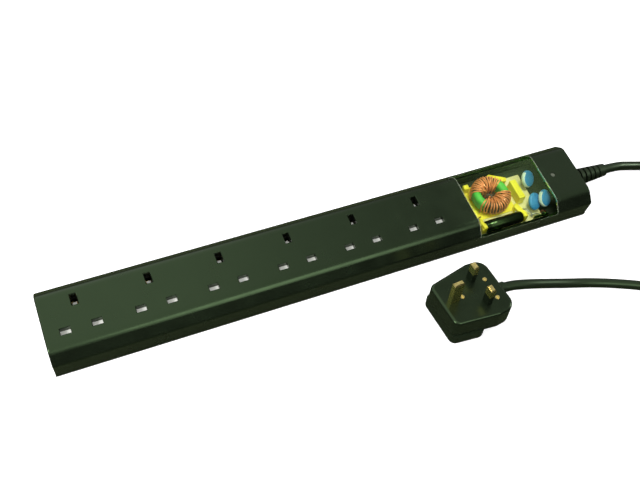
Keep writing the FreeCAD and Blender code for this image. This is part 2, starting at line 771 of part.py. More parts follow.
def make_earth_bar():
    """The earth busbar behind the earth contacts, which grip the pin on its flat sides."""
    half_gap = "earth_pin_thick / 2 - 0.1"
    low = TRAY_TOP
    bar_y = f"{EARTH_ROW} + earth_bar_offset"
    start = "first_socket - 4"
    pieces = [box((start, f"{bar_y} - bar_thick / 2", low),
                  (f"frame_end - 2 - ({start})", "bar_thick", "bar_tall"))]
    near = f"{EARTH_ROW} - earth_pin_wide / 2"
    for number in range(int(size("socket_count"))):
        x = socket_x(number)
        for u in (f"{x} - ({half_gap}) - leaf_thick", f"{x} + {half_gap}"):
            pieces.append(box((u, near, low), ("leaf_thick", "earth_pin_wide", "leaf_tall")))
        wide = f"2 * ({half_gap}) + 2 * leaf_thick"
        deep = "earth_pin_wide / 2 + earth_bar_offset + bar_thick / 2"
        pieces.append(box((f"{x} - ({half_gap}) - leaf_thick", near, low), (wide, deep, "1")))
    return part(fused(pieces), "earth_busbar")


# ---------------------------------------------------------------- the surge filter


def make_filter():
    """The circuit board under the window and the components on it."""
    part(box(("board_start", "-board_half", "board_level"),
             ("board_end - board_start", "2 * board_half", "board_thick")), "filter_board")

    base = box(("choke_x - cradle_half", "choke_y - cradle_half + 2", BOARD_TOP),
               ("2 * cradle_half", "2 * cradle_half - 4", "cradle_thick"))
    tabs = []
    for u in ("choke_x - cradle_half", "choke_x + cradle_half - tab_size"):
        tabs.append(box((u, "choke_y + cradle_half - 2 - tab_size", BOARD_TOP),
                        ("tab_size", "tab_size", "tab_tall")))
    for u in ("drum_start - 0.6 - arm_wide", "drum_end + 0.4"):
        tabs.append(box((u, "drum_y - drum_radius + 1", BOARD_TOP), ("arm_wide", "tab_size", "arm_tall")))
        tabs.append(box((u, "drum_y - drum_radius + 1", BOARD_TOP),
                        ("arm_wide", "choke_y - cradle_half + 4 - drum_y + drum_radius",
                         "cradle_thick + 1")))
    room = cylinder(("choke_x", "choke_y", CHOKE_LEVEL), "core_outer + wire_thick + 0.2", "casing_tall")
    part(cut(fused([base, *tabs]), [room]), "choke_cradle")

    core_low = f"{CHOKE_LEVEL} + wire_thick"
    bore = cylinder(("choke_x", "choke_y", "0"), "core_inner", "casing_tall")
    ring = cut(cylinder(("choke_x", "choke_y", core_low), "core_outer", "core_tall"), [bore])
    part(ring, "choke_core")
    for label, turn in (("choke_winding_back", 90.0), ("choke_winding_front", 270.0)):
        sector = cylinder(("choke_x", "choke_y", CHOKE_LEVEL), "core_outer + wire_thick",
                          "core_tall + 2 * wire_thick", angle="winding_angle")
        start = turn + 9.0 - size("winding_angle") / 2
        turned = FreeCAD.Rotation(Vector(0, 0, 1), start)
        sector.Placement = FreeCAD.Placement(sector.Placement.Base, turned)
        core_bore = cylinder(("choke_x", "choke_y", "0"), "core_inner - 0.02", "casing_tall")
        core_room = cut(cylinder(("choke_x", "choke_y", core_low), "core_outer", "core_tall"), [core_bore])
        hole = cylinder(("choke_x", "choke_y", "0"), "core_inner - wire_thick", "casing_tall")
        part(cut(sector, [core_room, hole]), label)

    part(box(("cap_x - cap_wide / 2", "cap_y - cap_long / 2", BOARD_TOP),
             ("cap_wide", "cap_long", "cap_tall")),
         "film_capacitor")
    drum = cylinder(("drum_start", "drum_y", f"{BOARD_TOP} + drum_radius + 0.2"), "drum_radius",
                    "drum_end - drum_start", along="X")
    legs = [cylinder((u, "drum_y + 1.4", "board_level - 1"), "0.4", "board_thick + drum_radius")
            for u in ("drum_start + 4", "drum_end - 4")]
    part(fused([drum, *legs]), "sleeved_capacitor")

    lean = FreeCAD.Rotation(Vector(1, 0, 0), size("disc_pitch"))
    lean = lean.multiply(FreeCAD.Rotation(Vector(0, 1, 0), size("disc_lean")))
    places = [("62.5", "9.5", "6.6", "-2.5"), ("57.9", "-11.4", "5.4", "-2"), ("66.4", "-12", "7", "0.4")]
    for number, (ahead, y, lift, near) in enumerate(places):
        x = f"window_start + {ahead}"
        disc = doc.addObject("Part::Cylinder", "disc")
        bind(disc, Radius="disc_radius", Height="disc_thick")
        disc.Placement = FreeCAD.Placement(Vector(), lean)
        bind(disc, Placement__Base__x=x, Placement__Base__y=y, Placement__Base__z=f"{BOARD_TOP} + {lift}")
        legs = [cylinder((f"{x} + {side}", y, "board_level - 1"), "0.4", f"board_thick + {lift} + 3")
                for side in (near, "4")]
        part(fused([disc, *legs]), f"varistor_{number + 1}")

    lens_low = "casing_tall - led_sink - 6"
    lens = cylinder(("led_x", "0", lens_low), "led_radius", "6")
    flange = cylinder(("led_x", "0", lens_low), "led_radius + 0.4", "1")
    legs = [cylinder((f"led_x + {side} * 1.27", "0", "board_level - 1"), "0.25",
                     f"{lens_low} - board_level + 1.5")
            for side in ("-1", "1")]
    part(fused([lens, flange, *legs]), "status_lamp")


# ---------------------------------------------------------------- cables


def rounded_path(points):
    """Straight runs joined by tangent arcs, each as large as its two runs allow."""
    edges = []
    radii = []
    start = points[0]
    for before, corner, after in zip(points, points[1:], points[2:]):
        run_in, run_out = corner - before, after - corner
        turn = run_in.getAngle(run_out)
        reach = 0.45 * min(run_in.Length, run_out.Length)
        radii.append(reach / math.tan(turn / 2))
        ahead = Vector(run_out).normalize()
        back = Vector(run_in).normalize() * -1
        first, last = corner + back * reach, corner + ahead * reach
        bisector = (back + ahead).normalize()
        middle = corner + bisector * (radii[-1] / math.cos(turn / 2) - radii[-1])
        edges.append(Part.LineSegment(start, first).toShape())
        edges.append(Part.Arc(first, middle, last).toShape())
        start = last
    edges.append(Part.LineSegment(start, points[-1]).toShape())
    return Part.Wire(edges), radii


def make_tube(label, points, radius):
    """A round cable along hand-placed points."""
    points = [Vector(point) for point in points]
    path, radii = rounded_path(points)
    ahead = (points[1] - points[0]).normalize()
    section = Part.Wire(Part.Circle(points[0], ahead, radius).toShape())
    tube = doc.addObject("Part::Feature", label)
    tube.Shape = path.makePipeShell([section], True, False)
    expected = math.pi * radius**2 * path.Length
    print(f"{label}: length {path.Length:.1f}, tightest {min(radii):.1f}, "
          f"volume {tube.Shape.Volume / expected:.4f} of section times length")
    return part(tube, label)


# The lead leaves the gland, sinks to the floor and bends round to the put-away coil.
# Its X runs from the cable end.
LEAD_ROUTE = [
    (30.4, 0.0, 14.5),
    (44.0, 0.1, 13.9),
    (58.0, -0.2, 8.8),
    (72.0, -1.4, 4.6),
    (88.0, -5.0, 3.9),
    (106.0, -12.0, 3.85),
    (123.0, -23.5, 3.9),
    (136.0, -39.5, 3.85),
    (145.5, -60.0, 3.9),
]
# From the coil along the floor towards the plug. Its far end moves with the coil.
TAIL_ROUTE = [
    (298.0, -137.9, 10.3),
    (281.0, -136.0, 6.6),
    (264.0, -126.6, 4.2),
    (246.0, -115.0, 3.85),
    (228.0, -104.4, 3.9),
    (207.5, -95.2, 3.85),
    (187.0, -87.4, 3.95),
    (168.4, -83.1, 6.2),
    (148.5, -80.1, 12.35),
    (129.8, -77.6, 18.1),
]
# Along the plug: where the cord bends outside the guard, and its end at the guard's flange.
CORD_ENDS = ("plug_foot - 7.6", "plug_foot + plug_wall + 2.5")


def make_cables():
    """The two visible runs of cable: gland to coil, and coil to plug."""
    end = worked_out(RIGHT)
    lead = [(end + x, y, z) for x, y, z in LEAD_ROUTE]
    gland_rise = size("gland_level") - lead[0][2]
    lead[:2] = [(x, y, z + gland_rise) for x, y, z in lead[:2]]
    make_tube("cable_lead", lead, size("cable_radius"))

    pose = plug_pose()
    cord = [pose.multVec(Vector(size("cord_exit_x"), worked_out(y), -size("cord_exit_depth")))
            for y in CORD_ENDS]
    first, last = TAIL_ROUTE[0][0], size("plug_x")
    shift = worked_out("coil_x") - first - 17.5
    tail = [(x + shift * (x - last) / (first - last), y, z) for x, y, z in TAIL_ROUTE]
    make_tube("cable_tail", [*tail, *cord], size("cable_radius"))


def make_gland():
    """The ribbed strain relief: a flange inside the wall, a neck in the cover's slot and a ribbed taper."""
    wall_inside = f"{RIGHT} - end_draft - wall"
    flange = cylinder((f"{wall_inside} - flange_thick", "0", "gland_level"), "gland_flange", "flange_thick",
                      along="X")
    neck = cylinder((f"{wall_inside} - 0.1", "0", "gland_level"), "gland_neck - 0.4",
                    "end_draft + wall + 1.0", along="X")
    root = f"{RIGHT} + 0.2"
    taper = cone((root, "0", "gland_level"), "gland_root", "gland_tip", "gland_long - 0.8")
    grooves = []
    step = "(gland_long - 8) / gland_ribs"
    for rib in range(int(size("gland_ribs"))):
        x = f"{root} + 4 + {rib} * ({step})"
        tube = cylinder((x, "0", "gland_level"), "gland_root + 2", "1.6", along="X")
        core = cylinder((f"{x} - 1", "0", "gland_level"), "cable_radius + 0.9", "4", along="X")
        grooves.append(cut(tube, [core]))
    return part(cut(fused([flange, neck, taper]), grooves), "cable_gland")


def make_cable_inside():
    """The sheath's end in the clamp, the clamp bar, and the three cores that it carries."""
    inner_end = f"{RIGHT} - end_draft - wall - flange_thick"
    sheath_start = "clamp_x - 4"
    part(cylinder((sheath_start, "0", "gland_level"), "cable_radius",
                  f"{inner_end} - ({sheath_start})", along="X"),
         "sheath_end")
    bar = box(("clamp_x - 3", "-clamp_half", "gland_level + cable_radius - 0.5"),
              ("6", "2 * clamp_half", "3"))
    groove = cylinder(("clamp_x - 4", "0", "gland_level"), "cable_radius + 0.02", "8", along="X")
    ends = [box(("clamp_x - 2.5", f"{side} - 2.6", "gland_level - 1.2"), ("5", "5.2", "cable_radius + 1"))
            for side in ("2.6 - clamp_half", "clamp_half - 2.6")]
    holes = [cylinder(("clamp_x", side, "0"), "1.3", "casing_tall")
             for side in ("2.6 - clamp_half", "clamp_half - 2.6")]
    part(cut(fused([bar, *ends]), [groove, *holes]), "cord_clamp")

    start_x = worked_out(sheath_start)
    level = size("gland_level")
    radius = size("core_wire_radius") - 0.2
    top = worked_out(BOARD_TOP)
    board_end = size("board_end")
    make_tube("live_wire", [(start_x, -2.0, level), (start_x - 2.6, -3.4, level + 0.2),
                            (board_end - 4.5, -6.5, top + radius + 0.1)], radius)
    make_tube("neutral_wire", [(start_x, 2.0, level), (start_x - 2.6, 3.4, level + 0.2),
                               (board_end - 4.5, 6.5, top + radius + 0.1)], radius)
    bar_y = worked_out(f"{EARTH_ROW} + earth_bar_offset")
    bar_end = worked_out("frame_end - 2")
    low = 7.0
    make_tube("earth_wire", [(start_x, 0.0, level - 2.3), (start_x - 1.2, 1.4, level - 5.6),
                             (start_x - 7.0, 6.5, low + 0.4), (start_x - 20.0, 12.0, low + 0.1),
                             (start_x - 42.0, 13.0, low), (bar_end + 24.0, 13.6, low + 0.1),
                             (bar_end + 10.0, 15.8, low + 1.6), (bar_end, bar_y, low + 2.9)], radius)


def make_coil():
    """The outer shape of the wound spare cable."""
    body = new_body("ring")
    section = new_sketch(body, "XZ_Plane", "0")
    draw_polygon(section, [("coil_inner", "0"), ("coil_outer", "0"), ("coil_outer", "coil_tall"),
                           ("coil_inner", "coil_tall")])
    turned = body.newObject("PartDesign::Revolution", "turned")
    turned.Profile = section
    turned.ReferenceAxis = (section, ["V_Axis"])
    turned.Angle = 360.0
    rounded(body, lambda edge: True, "cable_radius - 0.2")
    bind(body, Placement__Base__x="coil_x", Placement__Base__y="coil_y", Placement__Base__z="0.02")
    return part(body, "cable_coil")


# ---------------------------------------------------------------- the plug

COVER_FACE = "body_deep + plug_seam + cover_deep"
PLUG_DEPTH = f"{COVER_FACE} + grip_deep"


def plug_outline():
    """Half of the plug's face, right side from the cord end up, then mirrored."""
    right = [("plug_foot_half", "plug_foot"), ("plug_side_half", "plug_side_at"),
             ("plug_top_half", "plug_top")]
    return right + [(f"-({u})", v) for u, v in reversed(right)]


def plug_inside():
    """The outline of the plug's hollow: a wall's thickness in, with its cord-end corners cut off."""
    inset = "plug_wall + 0.8"
    cut_off = "plug_foot_round * 0.5"
    right = [
        (f"plug_foot_half - ({inset}) - {cut_off}", f"plug_foot + {inset}"),
        (f"plug_foot_half - ({inset})", f"plug_foot + {inset} + {cut_off}"),
        (f"plug_side_half - ({inset})", "plug_side_at"),
        (f"plug_top_half - ({inset})", f"plug_top - ({inset})"),
    ]
    return right + [(f"-({u})", v) for u, v in reversed(right)]


def upright_at(low, high):
    """A test for upright edges between two formulas along the plug."""
    return lambda edge: runs_along(edge, "Z") and worked_out(low) < spans(edge)[0].y < worked_out(high)


def round_corners(body):
    """Rounds a plug outline's cord-end corners wide and its earth-end corners tighter."""
    rounded(body, upright_at("plug_foot - 5", "plug_side_at - 5"), "plug_foot_round")
    rounded(body, upright_at("plug_top / 2", "plug_top + 9"), "plug_top_round")


def plug_pose():
    """Where the plug lies: on its grip, leaning on one long edge."""
    tilt = FreeCAD.Rotation(Vector(1, 0, 0), -size("plug_tilt"))
    turn = FreeCAD.Rotation(Vector(0, 0, 1), size("plug_turn"))
    lean = math.radians(size("plug_tilt"))
    back_round = size("grip_round")
    depth = worked_out(PLUG_DEPTH) - back_round
    half = worked_out(GRIP_HALF) - back_round
    level = depth * math.cos(lean) + half * math.sin(lean) + back_round + 0.02
    return FreeCAD.Placement(Vector(size("plug_x"), size("plug_y"), level), tilt.multiply(turn))


def placed(thing, label):
    """A piece of the plug, put where the plug lies."""
    carrier = doc.addObject("Part::Compound", label)
    carrier.Links = [thing]
    carrier.Placement = plug_pose()
    return part(carrier, label)


def rim_at(level):
    """A test for the edges of a flat end."""

    def test(edge):
        low, high = spans(edge)
        return abs(low.z - worked_out(level)) < 1e-3 and abs(high.z - worked_out(level)) < 1e-3

    return test


PLUG_TAPER = "(plug_side_half - plug_top_half) / (plug_top - plug_side_at)"
GRIP_HALF = f"plug_side_half + grip_out - ({PLUG_TAPER}) * (grip_from - plug_side_at)"


def make_plug_body(screw_places):
    """The body with the pin face: a deep rounded shell, open at the back."""
    body = new_body("plug_front")
    outer = new_sketch(body, "XY_Plane", "-body_deep")
    draw_polygon(outer, plug_outline())
    feature(body, "Pad", outer, "body_deep")
    round_corners(body)
    rounded(body, rim_at("0"), "face_round")
    inner = new_sketch(body, "XY_Plane", "-plug_wall")
    draw_polygon(inner, plug_inside())
    feature(body, "Pocket", inner, "body_deep")
    removed = [cylinder(("cord_exit_x", "plug_foot - 3", "-cord_exit_depth"), "guard_root + 0.1", "8",
                        along="Y")]
    for x, y, wide, thick in (("-line_half_gap", "0", "line_pin_wide", "line_pin_thick"),
                              ("line_half_gap", "0", "line_pin_wide", "line_pin_thick"),
                              ("0", "earth_rise", "earth_pin_thick", "earth_pin_wide")):
        removed.append(box((f"{x} - ({wide}) / 2 - 0.05", f"{y} - ({thick}) / 2 - 0.05", "-10"),
                           (f"{wide} + 0.1", f"{thick} + 0.1", "12")))
    removed += [cylinder((x, y, "-10"), "1.75", "12") for x, y in screw_places]
    placed(cut(body, removed), "plug_body")


def make_plug_cover():
    """The back cover: a shallow plate over the whole outline and a deep finger grip on the earth half."""
    plate = new_body("plug_back")
    outer = new_sketch(plate, "XY_Plane", f"-({COVER_FACE})")
    draw_polygon(outer, plug_outline())
    feature(plate, "Pad", outer, "cover_deep")
    round_corners(plate)
    rounded(plate, rim_at(f"-({COVER_FACE})"), "cover_round")

    grip = new_body("grip")
    lip = new_sketch(grip, "XY_Plane", f"-({PLUG_DEPTH})")
    top_half = "plug_top_half + grip_out"
    draw_polygon(lip, [(f"-({GRIP_HALF})", "grip_from"), (GRIP_HALF, "grip_from"), (top_half, "plug_top"),
                       (f"-({top_half})", "plug_top")])
    feature(grip, "Pad", lip, "grip_deep + cover_round")
    rounded(grip, lambda edge: runs_along(edge, "Z"), "plug_top_round")
    rounded(grip, rim_at(f"-({PLUG_DEPTH})"), "grip_round")
    hollow = new_sketch(grip, "XY_Plane", f"-({PLUG_DEPTH}) + plug_wall")
    inner_half = "plug_top_half - plug_wall - 1.5"
    draw_rectangle(hollow, "0", "(grip_from + plug_top) / 2", f"2 * ({inner_half})",
                   "plug_top - grip_from - 2 * plug_wall - 2")
    feature(grip, "Pocket", hollow, "2 * grip_deep", backwards=True)
    opening = box((f"-({inner_half})", "grip_from + plug_wall + 1", f"-({COVER_FACE}) - 1"),
                  (f"2 * ({inner_half})", "plug_top - grip_from - 2 * plug_wall - 2", "cover_deep + 2"))
    placed(fused([cut(plate, [opening]), grip]), "plug_cover")


def make_plug():
    """The fused 13 A plug: body, back cover with a finger grip, pins, sleeves, fuse, clips and screws."""
    screw_places = [("6.2", "-9.2"), ("-11.3", "-9.0"), ("0.1", "14.6")]
    exit_level = "-cord_exit_depth"
    make_plug_body(screw_places)
    make_plug_cover()

    for label, x in (("live_pin", "-line_half_gap"), ("neutral_pin", "line_half_gap")):
        wide, thick = "line_pin_wide", "line_pin_thick"
        inner_wide, inner_thick = f"{wide} - 2 * sleeve_thick", f"{thick} - 2 * sleeve_thick"
        neck = box((f"{x} - ({inner_wide}) / 2", f"-({inner_thick}) / 2", "-pin_root"),
                   (inner_wide, inner_thick, "pin_root + sleeve_long + 1"))
        head = box((f"{x} - {wide} / 2", f"-{thick} / 2", "-pin_root"),
                   (wide, thick, "pin_root - plug_wall"))
        blade = make_tip(x, "0", wide, thick, "sleeve_long", "line_pin_long")
        placed(fused([head, neck, blade]), label)
        outside = box((f"{x} - {wide} / 2", f"-{thick} / 2", "-plug_wall"),
                      (wide, thick, "plug_wall + sleeve_long"))
        inside = box((f"{x} - ({inner_wide}) / 2", f"-({inner_thick}) / 2", "-pin_root"),
                     (inner_wide, inner_thick, "pin_root + sleeve_long + 1"))
        placed(cut(outside, [inside]), f"{label}_sleeve")
    placed(make_tip("0", "earth_rise", "earth_pin_thick", "earth_pin_wide", "-pin_root", "earth_pin_long"),
           "earth_pin")

    fuse_y, fuse_level = "-line_pin_wide / 2 - 1", "-pin_root - fuse_radius - 1"
    placed(cylinder(("-line_half_gap", fuse_y, fuse_level), "fuse_radius", "fuse_long", along="Y"), "fuse")
    clips = []
    for y in (f"{fuse_y} + 0.6", f"{fuse_y} + fuse_long - 4.6"):
        block = box(("-line_half_gap - fuse_radius - 0.8", y, f"{fuse_level} - 1"),
                    ("2 * fuse_radius + 1.6", "4", f"-pin_root - ({fuse_level}) + 1"))
        room = cylinder(("-line_half_gap", f"{y} - 1", fuse_level), "fuse_radius + 0.02", "6", along="Y")
        clips.append(cut(block, [room]))
    group = doc.addObject("Part::Compound", "clips")
    group.Links = clips
    placed(group, "fuse_clips")

    bar = box(("-9", "plug_foot + plug_wall + 3", "0.35 - body_deep"),
              ("18", "4", "body_deep - 0.35 - cord_exit_depth - cable_radius"))
    placed(bar, "plug_cord_clamp")

    heads = []
    for x, y in screw_places:
        head = cylinder((x, y, "-1.6"), "1.7", "1.9")
        shank = cylinder((x, y, "-8"), "1.2", "7")
        slot = box((f"{x} - 2", f"{y} - 0.3", "-0.3"), ("4", "0.6", "1"))
        heads.append(cut(fused([head, shank]), [slot]))
    screws = doc.addObject("Part::Compound", "screws")
    screws.Links = heads
    placed(screws, "plug_screws")

    guard_start = "plug_foot + plug_wall + 1.5"
    flange = cylinder(("cord_exit_x", f"{guard_start} - 0.6", exit_level),
                      "cord_exit_depth - plug_wall - 0.65", "1.6", along="Y")
    taper = cone(("cord_exit_x", guard_start, exit_level), "guard_root", "guard_tip",
                 "guard_long + plug_wall + 1", along="Y")
    placed(fused([flange, taper]), "plug_cord_guard")
    inner = cylinder(("cord_exit_x", f"{guard_start} + 1", exit_level), "cable_radius", "6", along="Y")
    placed(inner, "plug_sheath_end")


def make_tip(x, y, wide, deep, start, end):
    """A rectangular pin from one level to another, with its end bevelled."""
    bar = box((f"{x} - ({wide}) / 2", f"{y} - ({deep}) / 2", start),
              (wide, deep, f"({end}) - tip_bevel - ({start})"))
    tip = doc.addObject("Part::Wedge", "bevel")
    bind(tip, Xmin="0", Xmax=wide, Zmin="0", Zmax=deep, Ymin="0", Ymax="tip_bevel",
         X2min="tip_bevel * 0.7", X2max=f"{wide} - tip_bevel * 0.7", Z2min="tip_bevel * 0.7",
         Z2max=f"{deep} - tip_bevel * 0.7")
    tip.Placement = FreeCAD.Placement(Vector(), FreeCAD.Rotation(Vector(1, 0, 0), 90))
    bind(tip, Placement__Base__x=f"{x} - ({wide}) / 2", Placement__Base__y=f"{y} + ({deep}) / 2",
         Placement__Base__z=f"({end}) - tip_bevel")
    return fused([bar, tip])


# ---------------------------------------------------------------- build, check and write

make_cover()
make_base()
make_window()
make_screws("case_screws", list(zip(SCREW_X, SCREW_Y)), "head_sink - screw_head_tall", "screw_radius",
            "screw_long - 1", "screw_head_radius", "screw_head_tall")
make_socket_frame()
make_contact_tray()
for socket in range(int(size("socket_count"))):
    make_shutter(socket)
    make_spring(socket)
make_line_bar("live_busbar", 1, -1, "board_start")
make_line_bar("neutral_busbar", -1, 1, "board_start")
make_earth_bar()
make_filter()
make_gland()
make_cable_inside()
make_coil()
make_plug()
make_cables()
doc.recompute()

for thing in doc.Objects:
    if "Invalid" in thing.State or "Error" in thing.State:
        raise RuntimeError(f"{thing.Name} ({thing.Label}) failed: {thing.State}")
for thing in PARTS:
    if thing.Shape.isNull() or not thing.Shape.isValid() or not thing.Shape.Solids:
        raise RuntimeError(f"{thing.Label} has no valid shape")
os.makedirs("parts", exist_ok=True)
for thing in PARTS:
    thing.Shape.exportStep(f"parts/{thing.Label}.step")
print(f"{len(PARTS)} pieces written")
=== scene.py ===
"""The looks of a six-way extension lead with a surge filter under a clear window, and its 13 A plug.

The pieces' lengths are written in millimetres and turned into metres by M. The camera, the lights and
the scales of patterns are in metres. Materials are named by what they are.
"""

import json
import math

import bpy
from mathutils import Matrix, Vector


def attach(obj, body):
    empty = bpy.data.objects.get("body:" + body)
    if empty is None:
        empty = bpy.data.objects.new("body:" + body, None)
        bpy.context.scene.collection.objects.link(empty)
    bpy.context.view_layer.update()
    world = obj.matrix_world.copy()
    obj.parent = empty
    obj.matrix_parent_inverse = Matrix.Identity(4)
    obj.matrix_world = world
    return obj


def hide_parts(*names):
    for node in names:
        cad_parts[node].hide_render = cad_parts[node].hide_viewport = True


M = 0.001
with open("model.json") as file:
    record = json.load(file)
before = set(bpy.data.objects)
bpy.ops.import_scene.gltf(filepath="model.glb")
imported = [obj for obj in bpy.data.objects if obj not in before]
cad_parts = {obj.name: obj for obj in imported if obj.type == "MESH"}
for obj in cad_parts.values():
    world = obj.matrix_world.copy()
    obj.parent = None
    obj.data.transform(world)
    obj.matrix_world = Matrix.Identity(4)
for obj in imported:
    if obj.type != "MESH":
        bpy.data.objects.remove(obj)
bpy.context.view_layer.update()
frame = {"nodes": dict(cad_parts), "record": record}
NODES = frame["nodes"]
STRIP = "strip"

# ---------------------------------------------------------------- camera


def make_camera():
    """A long lens from the front left, well above the casing."""
    right = Vector((0.92475, -0.36889, 0.09355)).normalized()
    back = Vector((-0.26934, -0.46071, 0.84569)).normalized()
    up = back.cross(right).normalized()
    right = up.cross(back)
    data = bpy.data.cameras.new("camera")
    data.sensor_width = 36.0
    data.lens = 50.39
    camera = bpy.data.objects.new("camera", data)
    turn = Matrix((right, up, back)).transposed().to_4x4()
    camera.matrix_world = Matrix.Translation((-0.19036, -0.30693, 0.59809)) @ turn
    bpy.context.scene.collection.objects.link(camera)
    bpy.context.scene.camera = camera


make_camera()

# ---------------------------------------------------------------- materials


def linear(code):
    """A hex colour as the linear values that nodes take."""
    channels = [int(code[i : i + 2], 16) / 255 for i in (1, 3, 5)]
    return [c / 12.92 if c <= 0.04045 else ((c + 0.055) / 1.055) ** 2.4 for c in channels] + [1.0]


class Material:
    """A procedural material: the main shader and whatever feeds it."""

    def __init__(self, name, colour, roughness, ior=1.5, **inputs):
        self.made = bpy.data.materials.new(name)
        self.made.use_nodes = True
        self.tree = self.made.node_tree
        self.shader = self.tree.nodes["Principled BSDF"]
        self.set("Base Color", linear(colour))
        self.set("Roughness", roughness)
        self.set("IOR", ior)
        for key, value in inputs.items():
            self.set(key.replace("_", " "), value)

    def set(self, key, value):
        """One of the shader's own inputs."""
        self.shader.inputs[key].default_value = value

    def add(self, kind, links=(), **values):
        """A node with its settings and inputs. Links are (input, node) or (input, node, output)."""
        node = self.tree.nodes.new(kind)
        for key, value in values.items():
            if hasattr(node, key):
                setattr(node, key, value)
            else:
                node.inputs[key.replace("_", " ")].default_value = value
        for entry in links:
            self.join(entry[1], entry[2] if len(entry) > 2 else 0, node, entry[0])
        return node

    def join(self, node, output, target, key):
        """A link from one node's output to another's input."""
        self.tree.links.new(node.outputs[output], target.inputs[key])

    def place(self):
        """Object coordinates."""
        return self.add("ShaderNodeTexCoord")

    def speckle(self, scale, detail=3.0, stretch=(1, 1, 1)):
        """Noise with a grain of roughly 1/scale metres."""
        mapping = self.add("ShaderNodeMapping", [("Vector", self.place(), "Object")])
        mapping.inputs["Scale"].default_value = stretch
        return self.add("ShaderNodeTexNoise", [("Vector", mapping, "Vector")], Scale=scale, Detail=detail)

    def vary_roughness(self, scale, low, high, stretch=(1, 1, 1)):
        """Roughness that drifts between two values."""
        spots = self.speckle(scale, stretch=stretch)
        ramp = self.add("ShaderNodeMapRange", [("Value", spots, "Fac")])
        ramp.inputs["From Min"].default_value = 0.3
        ramp.inputs["From Max"].default_value = 0.7
        ramp.inputs["To Min"].default_value = low
        ramp.inputs["To Max"].default_value = high
        self.join(ramp, 0, self.shader, "Roughness")

    def vary_colour(self, scale, other, share=0.5, stretch=(1, 1, 1)):
        """Base colour that drifts towards another."""
        spots = self.speckle(scale, stretch=stretch)
        mix = self.add("ShaderNodeMix", data_type="RGBA")
        mix.inputs[6].default_value = self.shader.inputs["Base Color"].default_value
        mix.inputs[7].default_value = linear(other)
        ramp = self.add("ShaderNodeMapRange", [("Value", spots, "Fac")])
        ramp.inputs["From Min"].default_value = 0.35
        ramp.inputs["From Max"].default_value = 0.75
        ramp.inputs["To Max"].default_value = share
        self.join(ramp, 0, mix, 0)
        self.tree.links.new(mix.outputs[2], self.shader.inputs["Base Color"])

    def bump(self, scale, height, strength=0.5, stretch=(1, 1, 1), detail=3.0):
        """Fine relief, height in metres."""
        spots = self.speckle(scale, detail, stretch)
        node = self.add("ShaderNodeBump", [("Height", spots, "Fac")], Strength=strength, Distance=height)
        self.join(node, 0, self.shader, "Normal")


def black_plastic(name, colour, low, high, grain, height):
    """Moulded black plastic with a faint green cast in its sheen."""
    made = Material(name, colour, low)
    made.set("Specular Tint", linear("#CFFFB9"))
    made.vary_roughness(60.0, low, high)
    made.bump(grain, height, 0.35)
    return made.made


GLOSS_BLACK = black_plastic("moulded_black_gloss", "#0B0F09", 0.20, 0.28, 900.0, 0.00002)
SATIN_BLACK = black_plastic("moulded_black_satin", "#0D110B", 0.34, 0.46, 1800.0, 0.00003)
CABLE_PVC = black_plastic("cable_pvc", "#0D110A", 0.34, 0.44, 1400.0, 0.00004)
SLEEVE = black_plastic("shrink_sleeve", "#080B07", 0.18, 0.26, 700.0, 0.00003)


def clear_plastic():
    """Clear polycarbonate, thin enough that light goes straight through it."""
    made = Material("clear_polycarbonate", "#F4F8F0", 0.03, 1.58)
    tree = made.tree
    clear = made.add("ShaderNodeBsdfTransparent")
    clear.inputs["Color"].default_value = linear("#F3F7EC")
    gloss = made.add("ShaderNodeBsdfGlossy")
    gloss.inputs["Roughness"].default_value = 0.04
    gloss.inputs["Color"].default_value = linear("#A8C890")  # the green that dark mouldings throw back
    fresnel = made.add("ShaderNodeFresnel", IOR=1.45)
    mix = made.add("ShaderNodeMixShader", [(0, fresnel), (1, clear), (2, gloss)])
    tree.links.new(mix.outputs[0], tree.nodes["Material Output"].inputs["Surface"])
    return made.made


CLEAR = clear_plastic()
# painted highlight: the pale, half-clear colour of the window's edges where they catch the light
PAINTED_EDGE_HIGHLIGHT = Material("painted_edge_highlight", "#B4BEA8", 0.2, 1.5, Alpha=0.36).made


def simple(name, colour, roughness, other=None, grain=800.0, height=0.00002, **inputs):
    """A plain moulding or coating with slight drift in colour, sheen and surface."""
    made = Material(name, colour, roughness, **inputs)
    if other:
        made.vary_colour(90.0, other)
    made.vary_roughness(120.0, roughness * 0.8, roughness * 1.25)
    made.bump(grain, height, 0.4)
    return made.made


WHITE = simple("white_acetal", "#F4F4EE", 0.35, "#E4E4DA")
FRAME_BLACK = simple("frame_moulding", "#15180F", 0.55)


def laminate():
    """Bare phenolic board, cream, turning dark green past a line along its back and one near its cable
    end.
    """
    made = Material("bare_laminate", "#E8DDAA", 0.5)
    made.vary_colour(90.0, "#D6C88E")
    cream = made.shader.inputs["Base Color"].links[0].from_node
    place = made.add("ShaderNodeSeparateXYZ", [(0, made.place(), "Object")])
    right = made.add("ShaderNodeMath", [(0, place, "X")], operation="GREATER_THAN")
    right.inputs[1].default_value = 176.5 * M
    back = made.add("ShaderNodeMath", [(0, place, "Y")], operation="GREATER_THAN")
    back.inputs[1].default_value = 19.0 * M
    border = made.add("ShaderNodeMath", [(0, right, 0), (1, back, 0)], operation="MAXIMUM")
    mix = made.add("ShaderNodeMix", data_type="RGBA")
    made.join(border, 0, mix, 0)
    made.join(cream, 2, mix, 6)
    # dark green past x 176.5 mm and past y 19 mm
    mix.inputs[7].default_value = linear("#1A2416")
    made.join(mix, 2, made.shader, "Base Color")
    made.vary_roughness(120.0, 0.4, 0.6)
    made.bump(800.0, 0.00002, 0.4)
    return made.made


